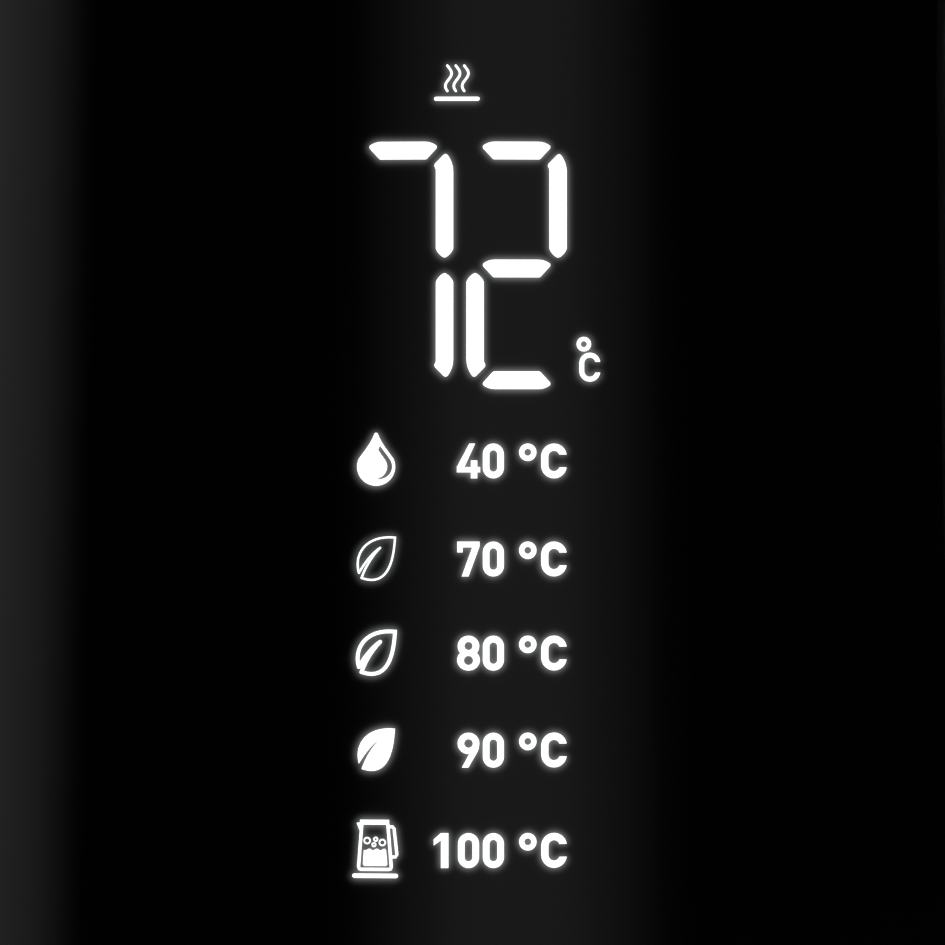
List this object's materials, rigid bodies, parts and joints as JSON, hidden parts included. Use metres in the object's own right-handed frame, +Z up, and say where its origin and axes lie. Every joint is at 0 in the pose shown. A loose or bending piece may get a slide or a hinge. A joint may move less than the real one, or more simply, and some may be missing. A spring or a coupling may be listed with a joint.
{
  "type": "electric gooseneck kettle",
  "caption": "Electric gooseneck kettle with a black glossy body, a light-up temperature display, a closed side handle, a lift-off lid and a round power base.",
  "frame": {"origin": "on the kettle's axis, in the plane that the rubber foot ring stands on", "axes": "+Z up; the display faces -Y, the spout points to -X and the handle is on +X"},
  "size_m": [0.2695, 0.1505, 0.2076],
  "materials": {
    "foot_rubber": "matt rubber",
    "underside_plastic": "fine texture",
    "base_plastic": "satin black",
    "connector_plastic": "heat-resistant, fine texture",
    "contact_brass": "plain",
    "screw_steel": "bright zinc",
    "cream_plastic": "plain",
    "tinted_sleeve": "deep gloss, tinted",
    "vessel_steel": "satin, turned",
    "silicone": "milky silicone",
    "trim_steel": "dark brushed",
    "heater_aluminium": "cast, dull",
    "element_steel": "heat-dulled",
    "board_green": "solder mask",
    "relay_plastic": "plain",
    "component_plastic": "plain",
    "led_lens": "clear lens",
    "white_reflector": "white, matt",
    "diffuser_film": "smoked, translucent",
    "touch_foil": "amber foil",
    "ribbon_cable": "plain",
    "lit_display": "lit from behind",
    "spout_steel": "satin",
    "handle_plastic": "soft-touch black",
    "gloss_lid": "gloss black"
  },
  "bodies": {
    "base": {"foot_ring": "foot_rubber", "base_plate": "underside_plastic", "base_housing": "base_plastic", "base_connector": "connector_plastic", "base_contacts": "contact_brass", "base_screws": "screw_steel", "connector_screws": "screw_steel", "cord_gland": "foot_rubber", "terminal_block": "cream_plastic"},
    "socket": {"socket_housing": "connector_plastic", "socket_contacts": "contact_brass"},
    "kettle": {"bottom_cover": "base_plastic", "cover_screws": "screw_steel", "outer_sleeve": "tinted_sleeve", "vessel": "vessel_steel", "vessel_pillars": "screw_steel", "vessel_seal": "silicone", "rim_collar": "trim_steel", "heater_plate": "heater_aluminium", "heating_element": "element_steel", "heater_terminals": "contact_brass", "dry_boil_cutouts": "cream_plastic", "temperature_probe": "vessel_steel", "control_board": "board_green", "power_relay": "relay_plastic", "board_parts": "component_plastic", "board_screws": "screw_steel", "display_board": "board_green", "display_leds": "led_lens", "led_reflector": "white_reflector", "display_film": "diffuser_film", "touch_film": "touch_foil", "display_cable": "ribbon_cable", "display_digits": "lit_display", "display_labels": "lit_display", "display_icons": "lit_display", "spout_root": "spout_steel", "spout_elbow": "spout_steel", "spout_neck": "spout_steel", "spout_bend": "spout_steel", "spout_tip": "spout_steel", "spout_collar": "trim_steel", "spout_gasket": "silicone", "handle_outer": "handle_plastic", "handle_inner": "handle_plastic", "handle_mounts": "handle_plastic", "handle_brackets": "screw_steel", "handle_screws": "screw_steel"},
    "lid": {"lid_cap": "gloss_lid", "lid_pan": "vessel_steel", "lid_seal": "silicone", "lid_knob": "handle_plastic", "knob_screw": "screw_steel"}
  },
  "joints": [
    {"name": "lift_off", "type": "slide", "parent": "base", "child": "socket", "axis": [0, 0, 1], "range_m": [0, 0.08]},
    {"name": "swivel", "type": "hinge", "parent": "socket", "child": "kettle", "pos_m": [0, 0, 0.03], "axis": [0, 0, 1], "continuous": true},
    {"name": "lid_lift", "type": "slide", "parent": "kettle", "child": "lid", "axis": [0, 0, 1], "range_m": [0, 0.06]}
  ]
}
